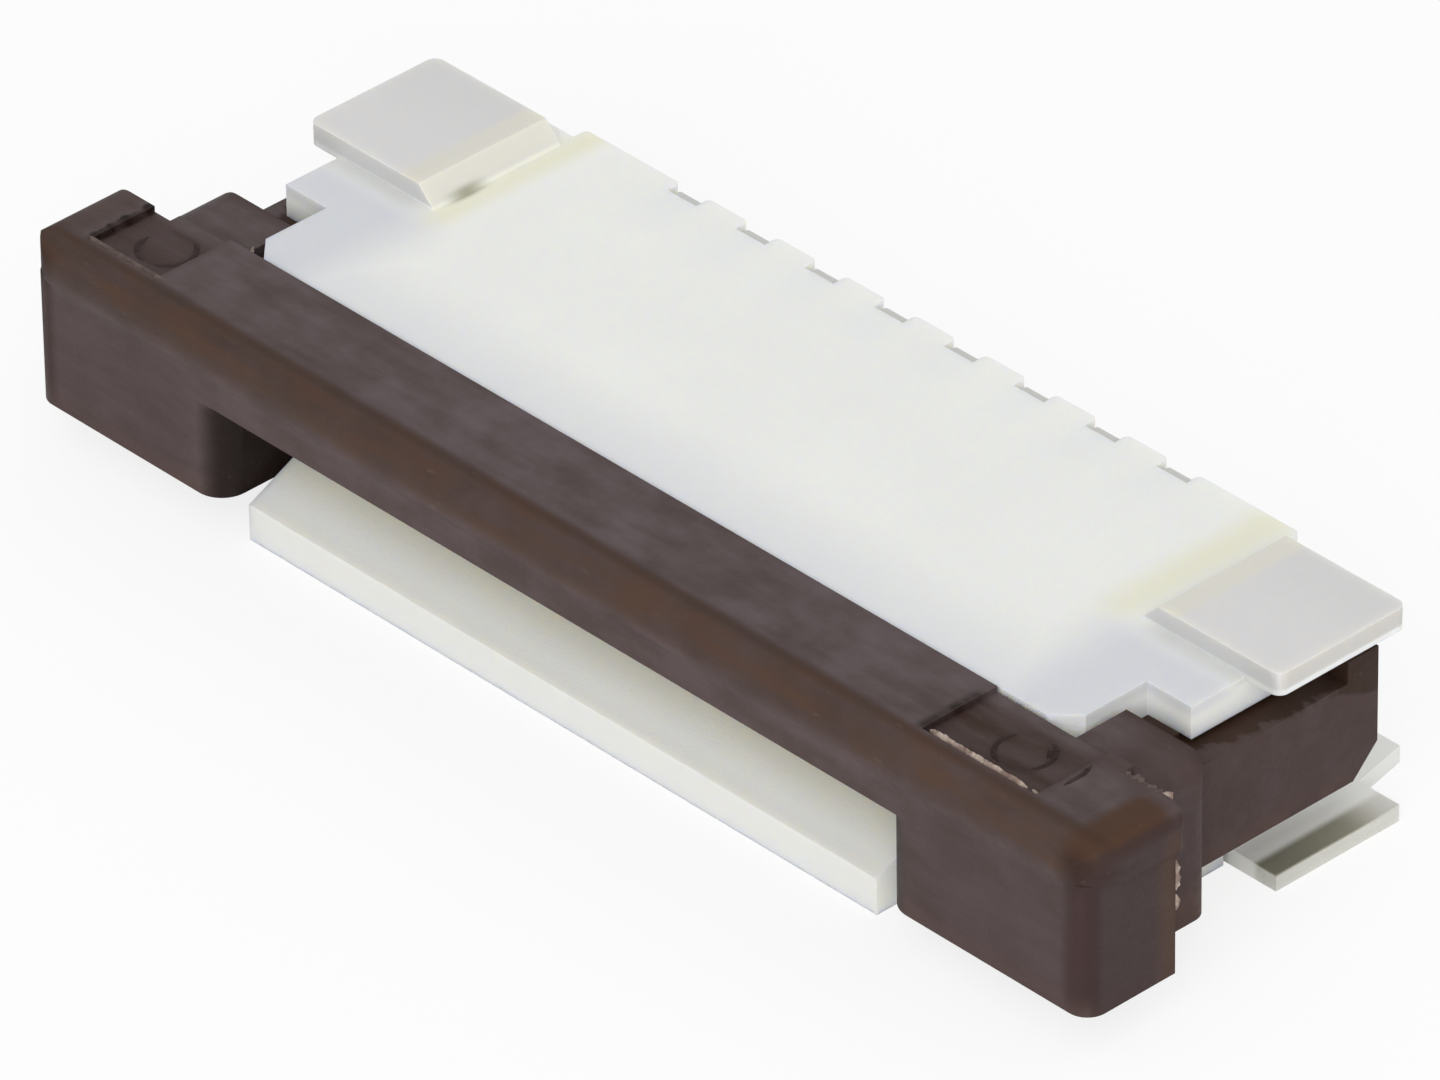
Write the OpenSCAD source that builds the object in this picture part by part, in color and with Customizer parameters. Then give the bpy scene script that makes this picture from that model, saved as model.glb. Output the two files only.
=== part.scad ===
// Eight way slide lock connector for a flat flexible cable, lying flat on a board.
// X runs along the row of contacts and the cable enters from -Y, over the floor of the housing.
// The origin is on the board, under the middle of the housing, and the lock is drawn shut.
// Millimetres throughout.

/* [Cable and contacts] */
// Distance from one contact to the next
pitch = 1.0; // [0.9:0.05:1.25]
// Thickness of the flat cable that the slot takes
cable_t = 0.3; // [0.2:0.05:0.4]
// Clearance between the cable's edge and the slot on each side
cable_side_gap = 0.05; // [0.03:0.01:0.1]
// Clearance between the cable's face and the shut lock
cable_face_gap = 0.03; // [0.02:0.01:0.06]
// Thickness of the strip that the contacts are stamped from
contact_t = 0.32; // [0.2:0.02:0.36]
// Clearance on each side of a contact in its groove
contact_side_gap = 0.05; // [0.03:0.01:0.07]
// How far a contact's nose stands above the cable floor
nose_rise = 0.1; // [0.05:0.01:0.15]
// How far a solder tail reaches out behind the housing
tail_l = 0.8; // [0.5:0.05:1.2]

/* [Housing] */
// Depth of the housing from the lip to the rear ribs
housing_d = 5.08; // [4.8:0.02:5.5]
// Height of the roof above the board
housing_h = 2.39; // [2.3:0.01:2.6]
// Height of the cable floor above the board
floor_h = 0.8; // [0.7:0.02:0.86]
// Thickness of the roof over the cable slot
roof_t = 0.59; // [0.5:0.01:0.64]
// Height of the lip's upright front face
lip_h = 0.42; // [0.3:0.02:0.6]
// Distance from the lip back to the front edge of the roof
roof_setback = 1.14; // [1.0:0.02:1.3]
// Distance from the lip back to the front of the side walls and wings
side_setback = 2.22; // [2.1:0.02:2.4]
// Width of the lip beyond the cable slot at its left end
lip_side = 0.1; // [0.04:0.01:0.2]
// How far the lip's right end is cut back from the side of the cable slot
lip_cutback = 0.13; // [0.0:0.01:0.2]
// Wall between the cable slot and the narrow front end of the housing
front_wall = 1.32; // [1.2:0.02:1.5]
// Wall between the cable slot and the side that the lock's arm runs along
side_wall = 1.62; // [1.56:0.02:1.8]
// How far a wing reaches over the lock's arm
wing_reach = 0.31; // [0.2:0.01:0.4]
// Bevel across each front corner of the roof, in plan
roof_corner = 0.26; // [0.1:0.01:0.3]
// Thickness of a wing
wing_t = 0.38; // [0.3:0.02:0.44]
// Width of a raised ear
ear_w = 1.65; // [1.5:0.05:1.8]
// Depth of a raised ear
ear_d = 1.75; // [1.5:0.05:1.9]
// Thickness of a raised ear
ear_t = 0.26; // [0.22:0.01:0.3]
// How far an ear stands above the roof
ear_rise = 0.23; // [0.15:0.01:0.3]
// How far an ear reaches out beyond its wing
ear_reach = 0.46; // [0.3:0.02:0.6]
// How far the rear ribs stand back beyond the ears
rear_step = 0.38; // [0.2:0.01:0.4]
// Depth of the notches between the rear ribs
notch_d = 0.18; // [0.12:0.01:0.24]
// Thickness of the roof over the contacts' spines
skin_t = 0.12; // [0.08:0.01:0.16]

/* [Lock] */
// Travel of the lock from shut to open
lock_travel = 1.2; // [0.8:0.05:1.3]
// Running clearance between the lock and the housing
slide_gap = 0.06; // [0.04:0.01:0.08]
// Gap between the shut lock and the front edge of the roof
shut_gap = 0.04; // [0.02:0.01:0.08]
// Height of the lock's top above the board
lock_h = 2.43; // [2.4:0.01:2.6]
// Height of the lock's lugs above the board
lug_clearance = 0.47; // [0.3:0.01:0.6]
// Height of the crossbar's underside above the board
bar_underside = 1.59; // [1.5:0.01:1.7]
// Depth of the crossbar, front to back
bar_d = 1.4; // [1.3:0.02:1.6]
// Height of the grip band along the top of the crossbar
band_h = 0.45; // [0.38:0.01:0.6]
// How far the grip band stands out beyond the ends of the lugs
band_proud = 0.1; // [0.06:0.01:0.14]
// How far the grip band stands out in front of the lugs
band_lip = 0.04; // [0.02:0.01:0.1]
// Radius along the top front edge of the grip band
band_edge_r = 0.36; // [0.2:0.02:0.36]
// Radius along the top edge of the grip band at each end
band_end_r = 0.24; // [0.1:0.02:0.36]
// Width of a finger lug
lug_w = 2.8; // [2.4:0.05:3.0]
// Depth of a finger lug
lug_d = 1.18; // [1.0:0.01:1.25]
// Gap between a finger lug and the side of the cable slot
lug_gap = 0.23; // [0.16:0.01:0.5]
// Thickness of a side arm
arm_t = 0.58; // [0.4:0.02:0.6]
// Height of a side arm, top to bottom
arm_h = 1.19; // [1.0:0.01:1.3]
// Gap between the end of a side arm and the rear of the housing's side
arm_end_gap = 0.26; // [0.2:0.02:0.4]
// Depth of the hook at the end of a side arm
hook_d = 0.34; // [0.2:0.02:0.5]
// How far a hook reaches in behind the side of the housing
hook_reach = 0.2; // [0.12:0.01:0.24]

/* [Fitting nails] */
// Thickness of the strip that the nails are stamped from
nail_t = 0.2; // [0.15:0.01:0.25]
// Depth of a nail's solder foot along the housing
foot_d = 1.7; // [1.5:0.05:1.75]
// How far a foot reaches out beyond the side of the housing
foot_reach = 0.67; // [0.5:0.01:0.8]
// Length of the stub left at the rear of a foot
stub_l = 0.72; // [0.4:0.02:0.9]
// Height of the blade that is pressed up into the housing
blade_h = 1.3; // [0.9:0.05:1.4]

/* [Hidden] */

$fn = 32;
// A small overlap that joins neighbouring shapes into one solid
weld = 0.01;
// A cutter's overrun past the face that it leaves through
over = 0.5;

circuits = 8;
cable_w = (circuits + 1) * pitch;

// Places across the row, as distances from the middle
slot_half = cable_w / 2 + cable_side_gap;
lip_left = slot_half + lip_side;
lip_right = slot_half - lip_cutback;
front_half = slot_half + front_wall;
side_half = slot_half + side_wall;
wing_half = side_half + wing_reach;
ear_half = wing_half + ear_reach;
ear_inner = ear_half - ear_w;
// Width of the ramp at an ear's foot, and how far the rear ribs run on under it
ear_ramp = 0.24;
rib_overlap = 0.05;
comb_half = ear_inner - ear_ramp + rib_overlap;
ear_corner_r = 0.12;

// Places front to back
front_y = -housing_d / 2;
rear_y = housing_d / 2;
roof_y = front_y + roof_setback;
side_y = front_y + side_setback;
side_rear_y = rear_y - rear_step;
ear_y = side_rear_y - ear_d;
notch_y = rear_y - notch_d;

// Heights
slot_top = housing_h - roof_t;
wing_z = housing_h - wing_t;
ear_top = housing_h + ear_rise;
contact_top = housing_h - skin_t;

// The contact's stamped outline
groove_w = contact_t + 2 * contact_side_gap;
spine_d = 0.68;
// Gap between a contact's rear edge and the ribs' rear faces
spine_inset = 0.02;
spine_rear_y = rear_y - spine_inset;
spine_y = spine_rear_y - spine_d;
// Thickness of the wall that stops the cable in front of the contacts
stop_wall = 0.3;
slot_end_y = spine_y - stop_wall;
beam_h = 0.26;
beam_z = 0.2;
// The cap on a contact, which closes the notch between two ribs
cap_gap = 0.02;
cap_h = 0.08;
beam_tip_y = roof_y + 0.34;
nose_y = beam_tip_y + 0.32;
nose_r = 0.16;
upper_h = 0.26;
upper_gap = 0.06;
upper_setback = 1.05;
upper_tip_y = roof_y + upper_setback;
upper_z = slot_top + upper_gap;
// The barbs that wedge a contact against the roof of its groove
barb_h = 0.05;
groove_top = upper_z + upper_h + barb_h;
tail_h = 0.2;
tip_gap = 0.2;

// The lock
bar_rear_y = roof_y - shut_gap;
band_y = bar_rear_y - bar_d;
lug_y = band_y + band_lip;
lug_rear_y = lug_y + lug_d;
lug_inner = slot_half + lug_gap;
lug_half = lug_inner + lug_w;
band_half = lug_half + band_proud;
band_z = lock_h - band_h;
band_corner_r = 0.5;
band_rear_r = 0.1;
band_end_y = lug_rear_y + 0.05;
lug_corner_r = 0.24;
// Height of the web that joins a lug to the shoulder behind it
lug_web = 0.2;
lug_inner_r = 0.32;
shoulder_inner = front_half + slide_gap + 0.02;
shoulder_half = side_half + 0.93;
shoulder_rear_y = side_y - 0.35;
shoulder_top = lock_h - 0.16;
shoulder_r = 0.27;
shoulder_corner_r = 0.2;
arm_inner = side_half + slide_gap;
arm_outer = arm_inner + arm_t;
arm_top = wing_z - slide_gap;
arm_z = arm_top - arm_h;
arm_end_y = side_rear_y - arm_end_gap;
arm_chamfer = 0.33;
hook_y = arm_end_y - hook_d;
hook_h = 0.7;
hook_z = (arm_z + arm_chamfer + arm_top) / 2 - hook_h / 2;
// The root that joins an arm to its shoulder, in front of the wing
root_top = wing_z + slide_gap;
root_rear_y = side_y - slide_gap;
root_lap = 0.15;
// The heel on an arm's end, between the wing and the ear
heel_d = 0.42;
heel_x = wing_half + slide_gap;
heel_top = ear_top - ear_t - 0.16;

// The lock's tongue, which wedges the cable down on the contacts
tongue_half = slot_half - slide_gap;
tongue_top = slot_top - slide_gap;
tongue_z = floor_h + cable_t + cable_face_gap;
tongue_tip_y = slot_end_y - 0.35;
tongue_tip_h = 0.24;

// Shallow recesses in the top of the lock
recess_depth = 0.07;
recess_rim = 0.39;
recess_y = band_y + recess_rim;
recess_end_gap = 0.52;
recess_left_w = 1.0;
recess_right_w = 1.55;
recess_left_x = -(lug_half - recess_end_gap);
recess_right_x = lug_inner + 0.19;

// The nails
blade_gap = 0.02;
blade_x = side_half - 0.79;
blade_d = 1.3;
blade_barb = 0.05;
foot_rear_y = side_rear_y + 0.03;
foot_y = foot_rear_y - foot_d;
foot_half = side_half + foot_reach;
bend_r = 0.1;
blade_y = foot_y + (foot_d - blade_d) / 2;
stub_root_half = side_half + 0.12;
stub_end_half = side_half - 0.03;
stub_inner = blade_x + 0.1;

function contact_x(n) = (n - (circuits + 1) / 2) * pitch;

// A box given by its two ends along each axis
module block(x, y, z) {
    translate([x[0], y[0], z[0]])
        cube([x[1] - x[0], y[1] - y[0], z[1] - z[0]]);
}

// A profile drawn as (depth, height), carried across the part from x0 to x1
module across(x0, x1) {
    translate([x0, 0, 0])
        rotate([90, 0, 90])
            linear_extrude(x1 - x0) children();
}

// A profile drawn as (width, height), carried back from y0 to y1
module along(y0, y1) {
    translate([0, y1, 0])
        rotate([90, 0, 0])
            linear_extrude(y1 - y0) children();
}

// The same thing at both ends of the row
module both_ends() {
    children();
    mirror([1, 0, 0]) children();
}

// A rectangle from corner a to corner b with all corners round
module round_rect(a, b, r) {
    translate([a[0] + r, a[1]]) square([b[0] - a[0] - 2 * r, b[1] - a[1]]);
    translate([a[0], a[1] + r]) square([b[0] - a[0], b[1] - a[1] - 2 * r]);
    for (x = [a[0] + r, b[0] - r], y = [a[1] + r, b[1] - r])
        translate([x, y]) circle(r);
}

// ---- Housing ----

// Floor with its lip, from the front of the housing to the ribs
module housing_floor() {
    ramp_y = front_y + (roof_setback * 0.7);
    across(-lip_left, lip_right)
        polygon([[front_y, 0], [front_y, lip_h], [ramp_y, floor_h],
                 [roof_y + weld, floor_h], [roof_y + weld, 0]]);
}

// Body behind the roof's front edge, before anything is cut out of it
module housing_body() {
    linear_extrude(housing_h)
        polygon([[-front_half + roof_corner, roof_y], [front_half - roof_corner, roof_y],
                 [front_half, roof_y + roof_corner], [front_half, notch_y],
                 [-front_half, notch_y], [-front_half, roof_y + roof_corner]]);
    both_ends() {
        block([front_half - weld, side_half], [side_y, side_rear_y], [0, housing_h]);
        block([side_half - weld, wing_half], [side_y, side_rear_y], [wing_z, housing_h]);
        ear();
    }
}

// Raised ear over the end of the lock's arm, with a ramp down to the roof
module ear() {
    outline = [[ear_inner - ear_ramp, housing_h - weld], [ear_inner, ear_top],
               [ear_half, ear_top], [ear_half, ear_top - ear_t],
               [wing_half - weld, ear_top - ear_t], [wing_half - weld, housing_h - weld]];
    intersection() {
        along(ear_y, side_rear_y) polygon(outline);
        linear_extrude(ear_top + weld)
            round_rect([ear_inner - 1, ear_y], [ear_half, side_rear_y], ear_corner_r);
    }
}

// Rear ribs, one between each two contacts and a wider one at each end
module rear_ribs() {
    r = 0.06;
    for (n = [1 : circuits - 1])
        rear_rib(contact_x(n) + groove_w / 2, contact_x(n + 1) - groove_w / 2, r);
    both_ends()
        rear_rib(contact_x(circuits) + groove_w / 2, comb_half, r);
}

module rear_rib(x0, x1, r) {
    linear_extrude(housing_h)
        round_rect([x0, notch_y - 2 * r - weld], [x1, rear_y], r);
}

// Slot for the cable and the tongue, with a lead-in under the roof
module cable_slot() {
    lead = 0.12;
    across(-slot_half, slot_half)
        polygon([[roof_y - over, floor_h], [slot_end_y, floor_h], [slot_end_y, slot_top],
                 [roof_y + lead, slot_top], [roof_y, slot_top + lead],
                 [roof_y - over, slot_top + lead]]);
}

// Groove that a contact is pushed into from behind
module contact_groove(n) {
    half = groove_w / 2;
    x = [contact_x(n) - half, contact_x(n) + half];
    block(x, [beam_tip_y - tip_gap, rear_y + over], [beam_z, floor_h + weld]);
    block(x, [upper_tip_y - tip_gap, rear_y + over], [slot_top - weld, groove_top]);
    block(x, [spine_y, rear_y + over], [-over, contact_top]);
    block(x, [notch_y, rear_y + over], [-over, housing_h + over]);
    // Window in the underside that the mould's pin for the beam leaves
    window_y = beam_tip_y + 0.3;
    window_d = pitch;
    block(x, [window_y, window_y + window_d], [-over, beam_z + weld]);
}

// Pocket in the side that a hook slides in, closed in front as its stop
module hook_pocket() {
    depth = hook_reach + slide_gap - (arm_inner - side_half) + slide_gap;
    block([side_half - depth, side_half + over],
          [hook_y - lock_travel - slide_gap, side_rear_y + over],
          [hook_z - slide_gap, hook_z + hook_h + slide_gap]);
}

// Slot for a nail's blade and the pocket that its foot lies in
module nail_pocket() {
    block([blade_x - blade_gap, blade_x + nail_t + blade_gap],
          [blade_y - blade_barb, blade_y + blade_d + blade_barb],
          [-over, nail_t + blade_h + 0.1]);
    block([blade_x - blade_gap, side_half + over],
          [foot_y - blade_barb, side_rear_y + over],
          [-over, nail_t]);
}

module housing() {
    color("ivory")
        difference() {
            union() {
                housing_floor();
                housing_body();
                rear_ribs();
            }
            cable_slot();
            for (n = [1 : circuits])
                contact_groove(n);
            both_ends() {
                hook_pocket();
                nail_pocket();
            }
        }
}

// ---- Slider ----

// Grip band: rounded along its front and ends, and at its corners
module grip_band() {
    overrun = band_corner_r + over;
    intersection() {
        across(-band_half, band_half)
            edge_profile(band_y, bar_rear_y, band_edge_r);
        along(band_y, bar_rear_y) {
            edge_profile(-band_half, 0, band_end_r);
            mirror([1, 0]) edge_profile(-band_half, 0, band_end_r);
        }
        translate([0, 0, band_z])
            linear_extrude(band_h)
                round_rect([-band_half, band_y], [band_half, bar_rear_y + overrun], band_corner_r);
        translate([0, 0, band_z])
            linear_extrude(band_h)
                band_outline();
    }
}

// The band's rear edge in plan, which steps forward outside the shoulders
module band_outline() {
    round_rect([-band_half, band_y - over], [band_half, band_end_y], band_rear_r);
    half = shoulder_half - shoulder_r;
    translate([-half, band_y]) square([2 * half, bar_d]);
}

// Side view of the band from a to b, with the top corner at a round
module edge_profile(a, b, r) {
    translate([a, band_z]) square([b - a, band_h - r]);
    translate([a + r, band_z]) square([b - a - r, band_h]);
    translate([a + r, lock_h - r]) circle(r);
}

// Crossbar under the band
module crossbar() {
    half = lug_inner + lug_inner_r + weld;
    block([-half, half], [lug_y, bar_rear_y], [bar_underside, band_z + weld]);
}

// Finger lug that hangs down beside the lip, round at both its front corners
module finger_lug() {
    translate([0, 0, lug_clearance])
        linear_extrude(band_z + weld - lug_clearance)
            difference() {
                translate([lug_inner, lug_y]) square([lug_w, lug_d]);
                translate([lug_half, lug_y]) corner_cut(lug_corner_r);
                translate([lug_inner, lug_y]) mirror([1, 0]) corner_cut(lug_inner_r);
            }
    block([lug_inner, shoulder_half - shoulder_r], [lug_rear_y - weld, bar_rear_y],
          [band_z - lug_web, band_z + weld]);
}

// What a rounded corner of radius r takes off in plan, with the sharp corner at the origin
module corner_cut(r) {
    difference() {
        translate([-r, -weld]) square([r + weld, r + weld]);
        translate([-r, r]) circle(r);
    }
}

// Shoulder behind a lug, which carries the arm
module shoulder() {
    intersection() {
        shoulder_bar();
        linear_extrude(lock_h)
            round_rect([shoulder_inner - 1, lug_y], [shoulder_half, shoulder_rear_y],
                       shoulder_corner_r);
    }
}

module shoulder_bar() {
    r = shoulder_r;
    along(lug_rear_y - weld, shoulder_rear_y) {
        translate([shoulder_inner, lug_clearance])
            square([shoulder_half - shoulder_inner, shoulder_top - r - lug_clearance]);
        translate([shoulder_inner, lug_clearance])
            square([shoulder_half - shoulder_inner - r, shoulder_top - lug_clearance]);
        translate([shoulder_half - r, shoulder_top - r]) circle(r);
    }
}

// Side arm with its lower rear corner cut away, a heel on its end, a root that closes the
// corner in front of the wing, and a hook on the inner face
module side_arm() {
    across(arm_inner, arm_outer)
        polygon([[shoulder_rear_y - 0.3, arm_z], [arm_end_y - arm_chamfer, arm_z],
                 [arm_end_y, arm_z + arm_chamfer], [arm_end_y, arm_top],
                 [shoulder_rear_y - 0.3, arm_top]]);
    block([heel_x, arm_outer], [arm_end_y - heel_d, arm_end_y], [arm_top - weld, heel_top]);
    block([shoulder_inner, arm_inner + root_lap], [shoulder_rear_y - weld, root_rear_y],
          [arm_z, root_top]);
    lead = hook_reach * 0.6;
    translate([0, 0, hook_z])
        linear_extrude(hook_h)
            polygon([[arm_inner + weld, hook_y], [arm_inner - hook_reach, hook_y],
                     [arm_inner - hook_reach, arm_end_y - lead],
                     [arm_inner - hook_reach + lead, arm_end_y], [arm_inner + weld, arm_end_y]]);
}

// Tapered tongue with a funnel for the cable under the crossbar
module tongue() {
    funnel_y = lug_y + 0.35;
    across(-tongue_half, tongue_half)
        polygon([[funnel_y, bar_underside + weld], [bar_rear_y - weld, bar_underside + 0.3],
                 [bar_rear_y - weld, tongue_top], [tongue_tip_y - 0.3, tongue_top],
                 [tongue_tip_y, tongue_z + 0.1 + tongue_tip_h], [tongue_tip_y, tongue_z + 0.1],
                 [tongue_tip_y - 0.5, tongue_z], [roof_y - 0.1, tongue_z]]);
}

// Shallow recess in the band's top, open to the rear
module top_recess(x, w) {
    block([x, x + w], [recess_y, bar_rear_y + over], [lock_h - recess_depth, lock_h + over]);
}

module slider() {
    color([0.36, 0.30, 0.29])
        difference() {
            union() {
                grip_band();
                crossbar();
                tongue();
                both_ends() {
                    finger_lug();
                    shoulder();
                    side_arm();
                }
            }
            top_recess(recess_left_x, recess_left_w);
            top_recess(recess_right_x, recess_right_w);
        }
}

// ---- Contacts ----

// Stamped outline, drawn as (depth, height): a spine and its cap, a sprung beam under the
// cable, an upper arm over the tongue and a solder tail behind
module contact_outline() {
    difference() {
        union() {
            translate([spine_y, 0]) square([spine_d, contact_top]);
            translate([notch_y + cap_gap, contact_top - weld])
                square([spine_rear_y - notch_y - cap_gap, cap_h + weld]);
            lower_beam();
            upper_arm();
            solder_tail();
        }
        // Upper rear corner of the cap, trimmed
        translate([spine_rear_y, contact_top + cap_h])
            rotate(45) square(0.06, center = true);
    }
}

// Tail that lies on the board behind the spine, with a slope at its root
module solder_tail() {
    root = 0.12;
    polygon([[spine_rear_y - root, 0], [rear_y + tail_l, 0], [rear_y + tail_l, tail_h],
             [spine_rear_y + root, tail_h], [spine_rear_y, tail_h + root],
             [spine_rear_y - root, tail_h + root]]);
}

// Sprung beam that tapers towards a round nose
module lower_beam() {
    nose_top = floor_h + nose_rise;
    root_y = spine_y + 0.1;
    beam_root_l = 1.2;
    polygon([[root_y, beam_z], [root_y, beam_z + beam_h + 0.1],
             [nose_y + nose_r, nose_top - nose_r - 0.1], [nose_y + nose_r, nose_top - nose_r],
             [nose_y - nose_r, nose_top - nose_r], [beam_tip_y, nose_top - nose_r - 0.2],
             [beam_tip_y, nose_top - nose_r - 0.34], [nose_y + 0.1, nose_top - nose_r - 0.28],
             [spine_y - beam_root_l, beam_z]]);
    translate([nose_y, nose_top - nose_r]) circle(nose_r);
}

// Upper arm with two barbs on its back
module upper_arm() {
    top = upper_z + upper_h;
    root_y = spine_y + 0.1;
    barbs = [for (y = [spine_y - 0.15, spine_y - 0.5])
                 each [[y, top], [y - 0.06, top + barb_h], [y - 0.12, top + barb_h], [y - 0.3, top]]];
    polygon(concat([[root_y, upper_z], [root_y, top]], barbs,
                   [[upper_tip_y, top], [upper_tip_y, upper_z + 0.1],
                    [upper_tip_y + 0.1, upper_z]]));
}

module terminal(n) {
    color("silver")
        across(contact_x(n) - contact_t / 2, contact_x(n) + contact_t / 2)
            contact_outline();
}

// ---- Fitting nails ----

// Foot in plan: a flat tab with a tapered stub behind it, where it was cut from its strip
module foot_outline() {
    polygon([[blade_x + bend_r, foot_y], [foot_half, foot_y], [foot_half, foot_rear_y],
             [stub_root_half, foot_rear_y], [stub_end_half, foot_rear_y + stub_l],
             [stub_inner, foot_rear_y + stub_l], [stub_inner, foot_rear_y],
             [blade_x + bend_r, foot_rear_y]]);
}

// Blade that is pressed up into the housing, with a barb on each edge
module blade() {
    top = nail_t + blade_h;
    mid = nail_t + blade_h * 0.55;
    rear = blade_y + blade_d;
    across(blade_x, blade_x + nail_t)
        polygon([[blade_y, bend_r], [blade_y, mid - 0.2], [blade_y - blade_barb, mid - 0.2],
                 [blade_y, mid + 0.1], [blade_y, top - 0.15], [blade_y + 0.15, top],
                 [rear - 0.15, top], [rear, top - 0.15], [rear, mid + 0.1],
                 [rear + blade_barb, mid - 0.2], [rear, mid - 0.2], [rear, bend_r]]);
    // Bend between the blade and the foot
    along(blade_y, rear) {
        intersection() {
            translate([blade_x + bend_r, bend_r]) circle(bend_r);
            translate([blade_x, 0]) square(bend_r + weld);
        }
    }
    block([blade_x + bend_r - weld, blade_x + nail_t], [blade_y, rear], [0, nail_t]);
}

module fitting_nail() {
    color("gainsboro") {
        linear_extrude(nail_t) foot_outline();
        blade();
    }
}

housing();
slider();
terminal(1);  // terminal_1
terminal(2);  // terminal_2
terminal(3);  // terminal_3
terminal(4);  // terminal_4
terminal(5);  // terminal_5
terminal(6);  // terminal_6
terminal(7);  // terminal_7
terminal(8);  // terminal_8
mirror([1, 0, 0]) fitting_nail();  // fitting_nail_left
fitting_nail();  // fitting_nail_right
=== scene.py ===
import math
import random
from functools import cached_property

import bmesh
import bpy
from mathutils import Matrix, Vector


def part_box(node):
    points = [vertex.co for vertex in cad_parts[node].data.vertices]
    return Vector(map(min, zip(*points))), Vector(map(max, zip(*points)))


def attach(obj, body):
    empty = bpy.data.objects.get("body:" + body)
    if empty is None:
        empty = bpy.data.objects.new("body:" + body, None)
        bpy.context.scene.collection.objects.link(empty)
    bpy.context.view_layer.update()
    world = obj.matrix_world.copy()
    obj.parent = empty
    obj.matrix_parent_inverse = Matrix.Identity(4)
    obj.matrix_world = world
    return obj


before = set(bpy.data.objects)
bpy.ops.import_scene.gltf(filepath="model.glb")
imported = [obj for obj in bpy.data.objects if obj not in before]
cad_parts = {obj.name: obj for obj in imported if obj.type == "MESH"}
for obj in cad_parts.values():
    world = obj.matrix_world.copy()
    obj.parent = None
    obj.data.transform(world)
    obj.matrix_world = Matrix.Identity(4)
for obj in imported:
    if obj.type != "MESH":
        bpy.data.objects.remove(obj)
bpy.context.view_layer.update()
MM = 0.001


# ---- Places on the connector, in millimetres ----

lock_low, lock_high = (Vector(corner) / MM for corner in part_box("slider"))
# The lock's top, and where it turns down into the rounded front edge
TOP = lock_high.z
TURN_Y = lock_low.y + 0.32
# The two shallow hollows in the top: their floor, front rim, and ends along the row
HOLLOW_Z = TOP - 0.07
HOLLOW_FRONT = lock_low.y + 0.44
LEFT_HOLLOW = (-7.06, -6.06)
RIGHT_HOLLOW = (4.97, 6.52)
# The marks that ejector pins left on the hollows' floors: their middles and radius
LEFT_PIN = (-6.45, -1.95)
RIGHT_PIN = (5.87, -1.95)
PIN_R = 0.3
# The lugs' outer ends and rear edges, and the rear edge of the caps on top of them
LUG_END = lock_high.x - 0.1
LUG_REAR = lock_low.y + 1.22
CAP_REAR = LUG_REAR + 0.04
# The arms' outer faces and their tops
ARM_OUT = 6.8
ARM_TOP = 1.95
# The housing's roof, and the foot of the ramp up to each ear that stands on it
ROOF = TOP - 0.04
EAR_FOOT = 5.05
# The upper side of the fitting nails' feet
NAIL_TOP = 0.2
UP = (0, 0, 1)


# ---- Shader maths ----

class Value:
    """The output of a node. Sums with it add Math nodes to its tree."""

    def __init__(self, nodes, socket):
        self.nodes = nodes
        self.socket = socket

    def maths(self, operation, *others):
        return self.nodes.node("Math", {"operation": operation}, [self, *others])

    def __add__(self, other):
        return self.maths("ADD", other)

    def __radd__(self, other):
        return self.maths("ADD", other)

    def __sub__(self, other):
        return self.maths("SUBTRACT", other)

    def __rsub__(self, other):
        return self.nodes.node("Math", {"operation": "SUBTRACT"}, [other, self])

    def __mul__(self, other):
        return self.maths("MULTIPLY", other)

    def __rmul__(self, other):
        return self.maths("MULTIPLY", other)

    def size(self):
        return self.maths("ABSOLUTE")

    def root(self):
        return self.maths("SQRT")

    def larger(self, other):
        return self.maths("MAXIMUM", other)

    def step(self, start, end):
        """0 before start and 1 after end, with a smooth slope between them."""
        low, high = min(start, end), max(start, end)
        outputs = [0.0, 1.0] if start < end else [1.0, 0.0]
        return self.nodes.node("MapRange", {"interpolation_type": "SMOOTHSTEP"},
                               {"Value": self, "From Min": low, "From Max": high,
                                "To Min": outputs[0], "To Max": outputs[1]})

    def near(self, middle, width):
        """1 at the middle and 0 at width from it, with a soft slope."""
        return (self - middle).size().step(width, 0)


class Nodes:
    """The nodes of a material or a world, which start from none."""

    def __init__(self, owner):
        owner.use_nodes = True
        self.tree = owner.node_tree
        self.tree.nodes.clear()

    def node(self, kind, settings=None, inputs=(), output=0):
        """Adds a node of that type, with its settings first and then its sockets."""
        made = self.tree.nodes.new("ShaderNode" + kind)
        for name, value in (settings or {}).items():
            setattr(made, name, value)
        pairs = inputs.items() if isinstance(inputs, dict) else enumerate(inputs)
        for name, value in pairs:
            if isinstance(value, Value):
                self.tree.links.new(value.socket, made.inputs[name])
            else:
                made.inputs[name].default_value = value
        return Value(self, made.outputs[output]) if made.outputs else None


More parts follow.
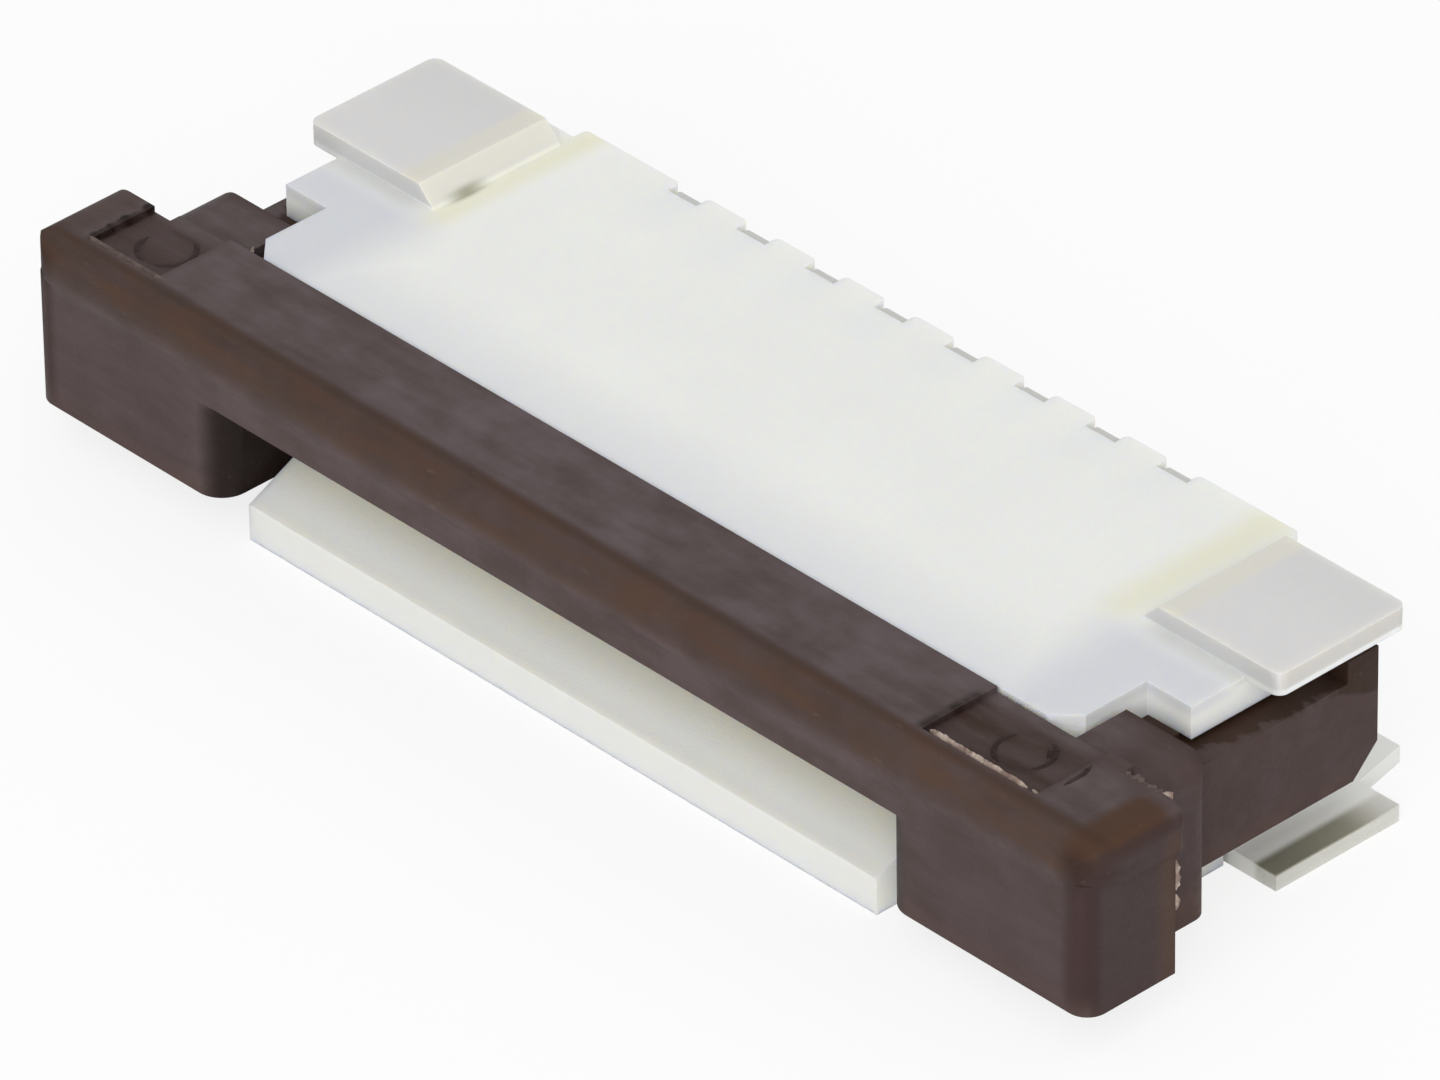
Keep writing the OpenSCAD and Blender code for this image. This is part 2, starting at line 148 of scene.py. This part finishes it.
class Finish(Nodes):
    """One material, and what its pattern is written with."""

    def __init__(self, name):
        self.material = bpy.data.materials.new(name)
        super().__init__(self.material)
        self.place = self.node("TexCoord", output="Object")

    @cached_property
    def axes(self):
        """X, Y and Z in millimetres, in the part's own frame."""
        parts = [self.node("SeparateXYZ", inputs=[self.place], output=n) for n in range(3)]
        return [part * (1 / MM) for part in parts]

    @cached_property
    def facing(self):
        """X and Y of the way that the surface faces, in the part's own frame."""
        normal = self.node("TexCoord", output="Normal")
        return [self.node("SeparateXYZ", inputs=[normal], output=n) for n in range(2)]

    def noise(self, size_mm, detail=3.0, rough=0.5, stretch=(1, 1, 1)):
        """Soft noise from 0 to 1 whose grains are about size_mm across."""
        place = self.node("VectorMath", {"operation": "MULTIPLY"}, [self.place, stretch])
        return self.node("TexNoise", {"noise_dimensions": "3D"},
                         {"Vector": place, "Scale": 1 / (size_mm * MM),
                          "Detail": detail, "Roughness": rough})

    def mix(self, amount, first, second):
        """first where amount is 0 and second where it is 1, as colours."""
        return self.node("Mix", {"data_type": "RGBA"}, {0: amount, 6: first, 7: second}, 2)

    def bump(self, height, depth_mm):
        return self.node("Bump", inputs={"Height": height, "Distance": depth_mm * MM,
                                         "Strength": 1.0}, output="Normal")

    def surface(self, **sockets):
        """A Principled shader with these sockets, wired to the output."""
        names = {name.replace("_", " "): value for name, value in sockets.items()}
        self.output(self.node("BsdfPrincipled", inputs=names))
        return self.material

    def output(self, shader):
        self.node("OutputMaterial", inputs={"Surface": shader})


def colour(red, green, blue):
    """A colour written as 8-bit values, as the linear numbers that shaders take."""
    def linear(level):
        level = level / 255
        return level / 12.92 if level <= 0.04045 else ((level + 0.055) / 1.055) ** 2.4
    return (linear(red), linear(green), linear(blue), 1.0)


# ---- Finish of the housing ----

def natural_nylon():
    """Unfilled nylon: pale, cloudy in its depth, painted greyer in the thin ears, with painted
    light and shade near the lock.
    """
    f = Finish("natural_nylon")
    x, y, z = f.axes
    side = x.size()
    face_x, face_y = f.facing
    end_face = face_x.size().step(0.6, 0.95)
    cloud = f.noise(1.8, detail=2.0)
    base = f.mix(cloud, colour(231, 232, 230), colour(238, 239, 234))
    # Painted shade: the roof is greyer and cooler beside the dark lock and over its arms
    beside = y.step(-0.2, -1.3) * 0.5
    over_arm = side.step(4.4, 5.4) * y.step(0.5, 0.0) * 0.9
    shade = beside.larger(over_arm) * z.step(ROOF - 0.19, ROOF - 0.03)
    base = f.mix(shade, base, colour(208, 210, 216))
    # Painted light, pale cream, in the shaded mouth under the lock, and painted shade, grey, along
    # the lip
    mouth = y.step(-2.4, -1.8) * y.step(0.5, -0.2) * z.step(1.2, 0.8)
    base = f.mix(mouth * 0.8, base, colour(252, 248, 226))
    lip = y.step(-2.3, -2.5) * z.step(1.0, 0.9)
    base = f.mix(lip * 0.8, base, colour(224, 224, 220))
    # Painted shade, tinted ivory by light through the resin, at the foot of each ear, in a wider
    # strip at the right
    ear_foot_shade = x.near(-4.95, 0.3).larger(x.near(4.78, 0.42))
    ear_foot_shade = ear_foot_shade * y.step(0.0, 0.5) * z.step(ROOF - 0.19, ROOF - 0.04)
    base = f.mix(ear_foot_shade * (0.35 + 0.5 * cloud), base, colour(226, 223, 192))
    # Painted shade: the ears are thin, and are painted greyer where the dark arms under them would
    # show through, paler and creamier on the inner ramp
    ear = side.step(EAR_FOOT - 0.07, EAR_FOOT + 0.1) * z.step(ROOF + 0.01, ROOF + 0.06)
    ear_top = f.mix(y.step(0.9, 2.2), colour(214, 213, 213), colour(209, 209, 209))
    base = f.mix(ear, base, ear_top)
    ramp = ear * side.step(EAR_FOOT + 0.57, EAR_FOOT + 0.45)
    base = f.mix(ramp, base, colour(216, 214, 205))
    # Painted light and shade on upright faces: the ends of the lip are pale, and the ears' ends and
    # fronts are greyer than their tops
    lip_end = end_face * y.step(-1.6, -1.9) * z.step(1.1, 1.0)
    base = f.mix(lip_end * 0.9, base, colour(250, 249, 244))
    base = f.mix(ear * end_face * side.step(6.6, 6.7), base, colour(201, 199, 195))
    base = f.mix(ear * face_y.step(-0.6, -0.95), base, colour(196, 196, 196))
    # Painted shadow in the corner under an ear's front, and a sunk dimple at the left ear's inner
    # front corner, painted dark olive as the shade in it
    on_roof = z.step(ROOF - 0.09, ROOF - 0.03)
    shadow_under_ear = y.near(0.36, 0.2) * side.step(EAR_FOOT - 0.05, EAR_FOOT + 0.45)
    shadow_under_ear = shadow_under_ear * z.step(ROOF + 0.06, ROOF + 0.02) * on_roof
    base = f.mix(shadow_under_ear * 0.4, base, colour(182, 182, 178))
    shaded_dimple = x.near(-5.08, 0.1) * y.near(0.88, 0.36)
    shaded_dimple = shaded_dimple * on_roof * z.step(ROOF + 0.11, ROOF + 0.04)
    base = f.mix(shaded_dimple * 0.85, base, colour(150, 148, 122))
    grain = f.noise(0.035, detail=4.0)
    waves = f.noise(0.6, detail=1.0)
    return f.surface(Base_Color=base, Roughness=0.5 + 0.12 * cloud,
                     Normal=f.bump(grain + 2.5 * waves - 6 * shaded_dimple, 0.003),
                     Subsurface_Weight=0.7, Subsurface_Scale=0.0002,
                     Subsurface_Radius=(1.0, 0.85, 0.5), IOR=1.5)


# ---- Finish of the lock ----

def lock_grain(f):
    """The mottled skin of the lock, before its painted edges and shade: its colour, mottle and
    streaks.
    """
    mottle = f.noise(0.7, detail=4.0, rough=0.6).step(0.3, 0.7)
    streak = f.noise(0.2, detail=3.0, stretch=(0.25, 1, 1)).step(0.25, 0.75)
    skin = f.mix(mottle * 0.6 + streak * 0.4, colour(70, 57, 55), colour(96, 84, 86))
    return skin, mottle, streak


def edges_without_sheen(f, base, streak):
    """Painted sheen: brown along the lock's rounded edges, which catch none of the bright sheen
    that greys the top. Gives the colour, and where those edges are.
    """
    x, y, z = f.axes
    front_edge = y.step(TURN_Y + 0.1, TURN_Y - 0.04) * z.step(TOP - 0.55, TOP - 0.23)
    right_end = x.step(LUG_END - 0.46, LUG_END - 0.26) * z.step(TOP - 0.23, TOP - 0.11)
    right_end = right_end * y.step(LUG_REAR + 0.02, LUG_REAR - 0.23)
    left_end = x.step(0.13 - LUG_END, -0.02 - LUG_END) * z.step(TOP - 0.53, TOP - 0.33)
    left_cap = x.step(0.48 - LUG_END, 0.28 - LUG_END) * z.step(TOP - 0.13, TOP - 0.03)
    edge = front_edge.larger(right_end).larger(left_end * 0.6).larger(left_cap * 0.45)
    warm = f.mix(streak, colour(60, 43, 32), colour(76, 55, 43))
    base = f.mix(edge * (0.5 + 0.45 * streak), base, warm)
    base = f.mix(right_end * 0.7, base, colour(72, 46, 29))
    # Painted shade: the line where the top turns into the rounded front edge is browner still
    turn = y.near(TURN_Y, 0.12) * z.step(TOP - 0.13, TOP - 0.05)
    return f.mix(turn * 0.45, base, colour(56, 38, 27)), edge


def lug_shade_and_feet(f, base, streak):
    """Painted shade on the lugs' corners, ends and inner faces, which are darker, and paler feet.
    """
    x, y, z = f.axes
    side = x.size()
    face_x, face_y = f.facing
    end_face = face_x.size().step(0.6, 0.9)
    front_face = face_y.step(-0.6, -0.9) * z.step(2.0, 1.8)
    # Painted shade: a darker strip down the outer front corner of a lug, and a dark corner above it
    strip = side.step(LUG_END - 0.4, LUG_END - 0.22) * y.step(TURN_Y - 0.04, TURN_Y - 0.16)
    strip = strip * z.step(2.1, 1.95) * z.step(0.3, 0.7)
    corner = side.near(LUG_END - 0.13, 0.35) * y.step(TURN_Y + 0.12, TURN_Y - 0.13)
    corner = corner * z.step(1.9, 1.97) * z.step(TOP - 0.03, TOP - 0.23)
    base = f.mix(strip.larger(corner) * 0.85, base, colour(45, 26, 21))
    # A dark line across the front of a lug's end, and the paler feet
    end_dark_line = z.near(2.1, 0.07) * side.step(LUG_END - 0.08, LUG_END - 0.02)
    base = f.mix(end_dark_line * y.step(-2.1, -2.35) * 0.7, base, colour(44, 30, 26))
    foot = z.step(0.8, 0.5) * (0.2 + 0.7 * streak)
    base = f.mix(foot * 0.6, base, colour(98, 76, 66))
    # Painted shade: upright faces are a little darker than the top. A warm line runs up the lugs'
    # rear edge
    base = f.mix(front_face * 0.3, base, colour(66, 46, 40))
    lug_end = end_face * side.step(LUG_END - 0.28, LUG_END - 0.08)
    arm_side = end_face * side.near(ARM_OUT, 0.15)
    base = f.mix(lug_end * 0.8 + arm_side * 0.3, base, colour(56, 41, 40))
    rear_line = y.near(LUG_REAR - 0.06, 0.3) * side.step(LUG_END - 0.18, LUG_END - 0.08)
    base = f.mix(rear_line * z.step(2.3, 2.1) * 0.6, base, colour(80, 57, 43))
    # Painted shade: the lugs' fronts are greyer, and the faces between the lugs, deep in shade,
    # nearly black
    base = f.mix(front_face * side.step(5.0, 5.5) * 0.3, base, colour(64, 48, 50))
    inner = side.step(5.15, 4.85) * z.step(1.6, 1.5)
    return f.mix(inner * 0.95, base, colour(24, 10, 7))


def arm_shadow_and_tone(f, base, mottle, streak, ragged):
    """Painted shadow with a ragged edge on the arms' tops, under the ears, and a browner right
    shoulder and arm.
    """
    x, y, z = f.axes
    side = x.size()
    # Painted shadow where the ears and wings overhang the arms' tops
    hook = y.step(1.2, 1.9)
    reach = side + ragged - 0.17 * y.step(-0.8, 1.4) - 0.15 * hook
    arm_top_shadow = reach.step(6.68, 6.6) * (z + 0.22 * hook).step(ARM_TOP - 0.07, ARM_TOP - 0.02)
    arm_top_shadow = arm_top_shadow.larger((z + ragged).step(2.0, 2.1)) * y.step(-0.95, -0.5)
    base = f.mix(arm_top_shadow * 0.9, base, colour(46, 26, 11))
    right = x.step(6.0, 6.6) * y.step(CAP_REAR - 0.17, CAP_REAR + 0.08) * (0.35 + 0.3 * mottle)
    base = f.mix(right * arm_top_shadow.step(0.9, 0.1), base, colour(58, 38, 31))
    # Paler along an arm's lower edge
    low_edge = z.near(0.65, 0.4) * side.step(ARM_OUT - 0.1, ARM_OUT) * y.step(-1.2, -1.0)
    return f.mix(low_edge * 0.35 * streak, base, colour(92, 62, 40))


def shaded_hollows(f, base, streak, ragged):
    """Painted shade in the corner at the end of each hollow, on its floor, and along the pin's
    mark.
    """
    x, y, z = f.axes
    left, left_end = LEFT_HOLLOW
    right, right_end = RIGHT_HOLLOW
    # Painted shade down the wall at the end of each hollow
    left_wall = (x + 0.4 * ragged).step(left - 0.09, left - 0.04) * x.step(left + 0.06, left + 0.01)
    right_wall = x.near(right - 0.03, 0.12) * y.step(CAP_REAR + 0.08, CAP_REAR - 0.17)
    wall = left_wall.larger(right_wall) * y.step(HOLLOW_FRONT - 0.1, HOLLOW_FRONT + 0.02)
    wall = wall * z.step(TOP - 0.23, TOP - 0.13)
    base = f.mix(wall * (0.4 + 0.8 * streak), base, colour(26, 14, 10))
    # Painted shade on the hollows' floors
    left_floor = x.step(left - 0.04, left + 0.06) * x.step(left_end + 0.11, left_end - 0.09)
    right_floor = x.step(right - 0.07, right + 0.08) * x.step(right_end + 0.13, right_end - 0.07)
    floor = (left_floor * 0.8).larger(right_floor)
    floor = floor * y.step(HOLLOW_FRONT - 0.05, HOLLOW_FRONT + 0.1)
    floor = floor * y.step(CAP_REAR + 0.08, CAP_REAR - 0.12) * z.step(TOP - 0.18, TOP - 0.13)
    base = f.mix(floor * (0.4 + 0.6 * streak), base, colour(54, 37, 29))
    # Painted shade along each pin mark's rim, as in a sunk groove
    for pin_x, pin_y in (LEFT_PIN, RIGHT_PIN):
        out = ((x - pin_x) * (x - pin_x) + (y - pin_y) * (y - pin_y)).root()
        base = f.mix(out.near(PIN_R, 0.1) * floor * streak * 0.8, base, colour(46, 31, 27))
    return base


def brown_lock():
    """Brown moulding with a satin skin, duller along its rounded edges and painted redder there
    where they catch no sheen, with painted shade in its corners and hollows.
    """
    f = Finish("brown_lock")
    base, mottle, streak = lock_grain(f)
    ragged = 0.18 * (streak - 0.5)
    base, edge = edges_without_sheen(f, base, streak)
    base = lug_shade_and_feet(f, base, streak)
    base = arm_shadow_and_tone(f, base, mottle, streak, ragged)
    base = shaded_hollows(f, base, streak, ragged)
    # Grey fibre flecks at the surface
    fleck = f.noise(0.07, detail=2.0, stretch=(0.35, 1, 1)).step(0.66, 0.8)
    base = f.mix(fleck * 0.12, base, colour(118, 106, 100))
    grain = f.noise(0.045, detail=5.0, rough=0.6)
    return f.surface(Base_Color=base, Roughness=0.5 + 0.14 * mottle + 0.1 * edge,
                     Normal=f.bump(grain + streak, 0.006), Specular_IOR_Level=0.2)


def fin_finish(name, dull, pale):
    """Thin fins on the lock, in patches from dull to pale."""
    f = Finish(name)
    patch = f.noise(0.12, detail=3.0)
    grain = f.noise(0.03, detail=3.0)
    base = f.mix(patch.step(0.35, 0.65), dull, pale)
    return f.surface(Base_Color=base, Roughness=0.5 + 0.2 * patch,
                     Normal=f.bump(grain, 0.008), Specular_IOR_Level=0.3)


def pressed_ring():
    """A darker finish for the pin marks' thin rims: painted shade, so that they read as sunk
    grooves.
    """
    f = Finish("pressed_ring")
    skin, mottle, streak = lock_grain(f)
    base = f.mix(0.3 * mottle, colour(38, 24, 20), skin)
    return f.surface(Base_Color=base, Roughness=0.45 + 0.15 * mottle,
                     Normal=f.bump(streak, 0.004), Specular_IOR_Level=0.15)


# ---- Finish of the contacts and fitting nails ----

def tinned_bronze():
    """Matte tin over bronze strip, with fine rolling lines."""
    f = Finish("tinned_bronze")
    x, y, z = f.axes
    side = x.size()
    lines = f.noise(0.05, detail=3.0, stretch=(1, 0.1, 1))
    dull = f.noise(0.5, detail=2.0)
    base = f.mix(lines, colour(214, 213, 207), colour(230, 229, 223))
    base = f.mix(dull * 0.3, base, colour(204, 202, 190))
    # Painted shade and reflection of the dark arms above: olive on the nails' feet under the lock's
    # arms
    arm_shade_reflection = z.step(NAIL_TOP - 0.03, NAIL_TOP - 0.01) * side.step(6.25, 6.42) * y.step(2.2, 1.5)
    base = f.mix(arm_shade_reflection * 0.9, base, colour(150, 147, 128))
    # The tin is whiter and duller on the contacts' tails and across the middle of each nail; on the
    # nails the white is painted light, for the bright room their tin would reflect
    tails = y.step(2.1, 2.35) * z.step(1.0, 0.6)
    nail_middles = side.step(6.62, 6.5) * side.step(5.5, 6.0)
    matte_and_painted_white = tails.larger(nail_middles)
    base = f.mix(matte_and_painted_white * 0.75, base, colour(246, 246, 244))
    # The contacts' upper ends are grey
    cap = z.step(2.2, 2.3)
    base = f.mix(cap * 0.9, base, colour(205, 205, 202))
    return f.surface(Base_Color=base, Metallic=0.85 - 0.55 * matte_and_painted_white.larger(cap),
                     Roughness=0.22 + 0.12 * dull + 0.2 * matte_and_painted_white + 0.3 * arm_shade_reflection,
                     Normal=f.bump(lines, 0.002))


# ---- The frame's own pieces ----

def soften(node, width_mm, segments):
    """Takes the tessellation's seams out of a node and rounds its sharp edges."""
    weld = node.modifiers.new("weld", "WELD")
    weld.merge_threshold = 0.0005 * MM
    planar = node.modifiers.new("planar", "DECIMATE")
    planar.decimate_type = "DISSOLVE"
    planar.angle_limit = math.radians(0.5)
    edge = node.modifiers.new("edge", "BEVEL")
    edge.width = width_mm * MM
    edge.segments = segments
    edge.limit_method = "ANGLE"
    edge.angle_limit = math.radians(35)
    edge.use_clamp_overlap = True


def dress(name, material, edge_mm, segments=2):
    """Gives a node its finish, and rounds its edges to that width."""
    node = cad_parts[name]
    node.data.materials.clear()
    node.data.materials.append(material)
    soften(node, edge_mm, segments)


NYLON, LOCK, TIN = natural_nylon(), brown_lock(), tinned_bronze()
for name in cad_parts:
    if name == "housing":
        dress(name, NYLON, 0.03)
    elif name == "slider":
        dress(name, LOCK, 0.05)
    elif name.startswith("fitting_nail"):
        dress(name, TIN, 0.06, segments=3)
    else:
        dress(name, TIN, 0.02)


# ---- Thin fins as painted highlights, and pin marks on the lock ----

RING = pressed_ring()
# On the hollows' front rims and the right lug, these fins are painted highlights along lit edges,
# pale or faint
PALE_FIN = fin_finish("fin_finish", colour(124, 104, 95), colour(172, 155, 144))
DULL_FIN = fin_finish("dull_fin", colour(76, 63, 58), colour(98, 82, 76))
# The distance between a fin's sections, and how far its root is sunk into the lock
FIN_STEP = 0.03
SUNK = 0.012


def along(path, step):
    """Points at even steps along a path, and the path's direction at each."""
    points = []
    for start, end in zip(path, path[1:]):
        start, end = Vector(start), Vector(end)
        count = max(2, round((end - start).length / step))
        points += [start.lerp(end, n / count) for n in range(count)]
    points.append(Vector(path[-1]))
    last = len(points) - 1
    return [(point, (points[min(n + 1, last)] - points[max(n - 1, 0)]).normalized())
            for n, point in enumerate(points)]


def fin_section(point, aside, up, half, tall, lean):
    """The corners of a fin's section: its sunk roots, its flanks and its leaning top."""
    root = up * SUNK
    return [point - aside * half - root, point - aside * half * 0.5 + up * tall * 0.6,
            point + lean + up * tall, point + aside * half * 0.6 + up * tall * 0.5,
            point + aside * half - root]


def closed_skin(name, sections):
    """A mesh over a row of like sections, given in millimetres, closed at both ends."""
    skin = bmesh.new()
    rows = [[skin.verts.new(corner * MM) for corner in section] for section in sections]
    for first, second in zip(rows, rows[1:]):
        for n in range(len(first)):
            after = (n + 1) % len(first)
            skin.faces.new([first[n], first[after], second[after], second[n]])
    skin.faces.new(rows[0][::-1])
    skin.faces.new(rows[-1])
    bmesh.ops.recalc_face_normals(skin, faces=skin.faces)
    mesh = bpy.data.meshes.new(name)
    skin.to_mesh(mesh)
    skin.free()
    return mesh


def ragged_fin(name, path, up, width, height, finish, seed, ragged=0.5):
    """A thin closed fin that stands on a path, in millimetres, with a torn top edge."""
    draw = random.Random(seed)
    up = Vector(up).normalized()
    sections = []
    stations = along(path, FIN_STEP)
    for n, (point, forward) in enumerate(stations):
        aside = forward.cross(up).normalized()
        # The fin tapers over the last three stations at each end
        from_end = min(n, len(stations) - 1 - n)
        grown = min(1.0, (from_end + 0.4) / 3)
        tall = height * grown * (1 - ragged * draw.random())
        half = width / 2 * grown * (1 - 0.4 * ragged * draw.random())
        lean = aside * width * 0.25 * (draw.random() - 0.5)
        sections.append(fin_section(point, aside, up, half, tall, lean))
    mesh = closed_skin(name, sections)
    mesh.materials.append(finish)
    piece = bpy.data.objects.new(name, mesh)
    bpy.context.scene.collection.objects.link(piece)
    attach(piece, "lock")


def arc(centre, radius, start, end, z):
    """Points round a circle, from one angle to another, at one height."""
    count = max(4, round(abs(end - start) / 12))
    turns = [math.radians(start + (end - start) * n / count) for n in range(count + 1)]
    return [(centre[0] + radius * math.cos(turn), centre[1] + radius * math.sin(turn), z)
            for turn in turns]


def front_rim_highlights():
    """Pale fins on the front rim of the two hollows, as painted highlights along the lit rim,
    thicker and brighter at the right.
    """
    rim_z = TOP - 0.01
    # Each length of the right rim's fin: its start and end along the row, and its height
    lengths = [(5.03, 6.37, 0.045), (6.43, 6.53, 0.035)]
    for number, (start, end, height) in enumerate(lengths, 1):
        path = [(start, HOLLOW_FRONT, rim_z), (end, HOLLOW_FRONT - 0.01, rim_z)]
        ragged_fin(f"rim_highlight_right_{number}", path, UP,
                   width=0.075, height=height, finish=PALE_FIN, seed=10 + number)
    path = [(-7.16, HOLLOW_FRONT - 0.01, rim_z), (-5.9, HOLLOW_FRONT - 0.01, rim_z)]
    ragged_fin("rim_highlight_left", path, UP,
               width=0.1, height=0.02, finish=DULL_FIN, seed=17, ragged=0.4)


def lug_edge_highlights():
    """Pale fins down the rear edge of the right lug and along its rear top edge, as painted
    highlights on those lit edges.
    """
    edge_x, edge_y = LUG_END - 0.01, LUG_REAR + 0.02
    # Each length of fin down the edge: its lower and upper ends, and its width
    lengths = [(1.2, 1.38, 0.05), (1.43, 1.78, 0.06), (1.98, 2.16, 0.04)]
    for number, (low, high, width) in enumerate(lengths, 1):
        ragged_fin(f"lug_edge_highlights_{number}", [(edge_x, edge_y, low), (edge_x, edge_y, high)],
                   up=(0.7, 1, 0), width=width, height=0.05, finish=PALE_FIN, seed=22 + number)
    rearwards = (0, 1, 0.4)
    ragged_fin("lug_top_highlight", [(6.75, CAP_REAR, TOP - 0.03), (7.38, CAP_REAR, TOP - 0.03)],
               rearwards, width=0.08, height=0.09, finish=DULL_FIN, seed=31, ragged=0.6)
    ragged_fin("lug_top_highlight_end", [(7.32, CAP_REAR, TOP - 0.03), (7.48, CAP_REAR, TOP - 0.04)],
               rearwards, width=0.09, height=0.15, finish=PALE_FIN, seed=33, ragged=0.3)


def pin_marks():
    """Broken round rims where ejector pins met the floor of the two hollows."""
    # Each mark's middle, and the radius, start angle and end angle of its arcs
    marks = {"left": (LEFT_PIN, [(PIN_R, -70, 70), (PIN_R, 175, 268)]),
             "right": (RIGHT_PIN, [(PIN_R, -35, 72), (PIN_R, 150, 262), (PIN_R * 0.8, 15, 62)])}
    for side, (middle, arcs) in marks.items():
        for number, (radius, start, end) in enumerate(arcs, 1):
            path = arc(middle, radius, start, end, HOLLOW_Z)
            ragged_fin(f"pin_mark_{side}_{number}", path, UP,
                       width=0.09, height=0.014, finish=RING, seed=40 + number, ragged=0.4)


def small_ridges():
    """A dark thin ridge beside the right hollow, and a torn shred at the left shoulder."""
    path = [(6.55, -1.72, TOP), (6.6, -1.9, TOP), (6.6, -2.15, TOP)]
    ragged_fin("hollow_end_ridge", path, UP,
               width=0.09, height=0.014, finish=RING, seed=53, ragged=0.6)
    path = [(-5.99, -1.2, TOP - 0.16), (-5.9, -1.33, TOP - 0.16)]
    ragged_fin("shoulder_shred", path, UP, width=0.06, height=0.03, finish=PALE_FIN, seed=59)


front_rim_highlights()
lug_edge_highlights()
pin_marks()
small_ridges()


# ---- Camera, floor and light ----

WHITE = (1, 1, 1, 1)


def look_from(azimuth, elevation, roll):
    """The camera's three axes: to its right, upwards, and back from the object."""
    a, e, r = (math.radians(angle) for angle in (azimuth, elevation, roll))
    back = Vector((math.sin(a) * math.cos(e), -math.cos(a) * math.cos(e), math.sin(e)))
    right = Vector((math.cos(a), math.sin(a), 0))
    up = back.cross(right)
    tilted = right * math.cos(r) + up * math.sin(r)
    return tilted, back.cross(tilted), back


def make_camera(azimuth, elevation, roll, aim_mm, distance, lens):
    """A camera that looks at one point of the part from that side, with a long lens."""
    right, up, back = look_from(azimuth, elevation, roll)
    data = bpy.data.cameras.new("camera")
    data.sensor_width = 36.0
    data.lens = lens
    data.clip_start = 0.01
    data.clip_end = 10.0
    camera = bpy.data.objects.new("camera", data)
    turn = Matrix((right, up, back)).transposed().to_4x4()
    camera.matrix_world = Matrix.Translation(Vector(aim_mm) * MM + back * distance) @ turn
    bpy.context.scene.collection.objects.link(camera)
    bpy.context.scene.camera = camera


def make_floor(half):
    """A square of white paper on the level of the board, bright where the camera sees it."""
    mesh = bpy.data.meshes.new("floor")
    mesh.from_pydata([(-half, -half, 0), (half, -half, 0), (half, half, 0), (-half, half, 0)],
                     [], [(0, 1, 2, 3)])
    floor = bpy.data.objects.new("floor", mesh)
    bpy.context.scene.collection.objects.link(floor)
    f = Finish("paper")
    paper = f.node("BsdfDiffuse", inputs={"Color": (0.93, 0.93, 0.93, 1)})
    glow = f.node("Emission", inputs={"Color": WHITE, "Strength": 1.0})
    seen = f.node("LightPath", output="Is Camera Ray")
    f.output(f.node("MixShader", inputs={0: seen * 0.8, 1: paper, 2: glow}))
    mesh.materials.append(f.material)


def make_world(card, room_level, card_level):
    """Plain room light with a dark card in that direction, and white where seen."""
    world = bpy.data.worlds.new("studio")
    bpy.context.scene.world = world
    sky = Nodes(world)
    way = sky.node("TexCoord", output="Generated")
    towards_card = sky.node("VectorMath", {"operation": "DOT_PRODUCT"}, [way, card], "Value")
    level = sky.node("MapRange", {"interpolation_type": "SMOOTHSTEP"},
                     {"Value": towards_card, "From Min": 0.3, "From Max": 0.95,
                      "To Min": room_level, "To Max": card_level})
    room = sky.node("Background", inputs={"Color": WHITE, "Strength": level})
    white = sky.node("Background", inputs={"Color": WHITE, "Strength": 1.0})
    seen = sky.node("LightPath", output="Is Camera Ray")
    light = sky.node("MixShader", inputs={0: seen, 1: room, 2: white})
    sky.node("OutputWorld", inputs={"Surface": light})


def make_lamp(name, azimuth, elevation, distance, size, power):
    """A square soft lamp that faces the object."""
    _, _, back = look_from(azimuth, elevation, 0)
    data = bpy.data.lights.new(name, "AREA")
    data.shape = "SQUARE"
    data.size = size
    data.energy = power
    lamp = bpy.data.objects.new(name, data)
    lamp.location = back * distance
    lamp.rotation_mode = "QUATERNION"
    lamp.rotation_quaternion = back.to_track_quat("Z", "Y")
    bpy.context.scene.collection.objects.link(lamp)


make_camera(azimuth=47.14, elevation=34.07, roll=-0.876,
            aim_mm=(0.376, -0.78, 1.589), distance=0.150, lens=381.5)
make_floor(half=0.6)
make_world(card=(-0.6, -0.56, 0.57), room_level=0.72, card_level=0.3)
make_lamp("top", azimuth=0, elevation=75, distance=0.25, size=0.2, power=0.08)
make_lamp("front", azimuth=32, elevation=34, distance=0.25, size=0.2, power=0.4)
bpy.context.scene.view_settings.view_transform = "Standard"
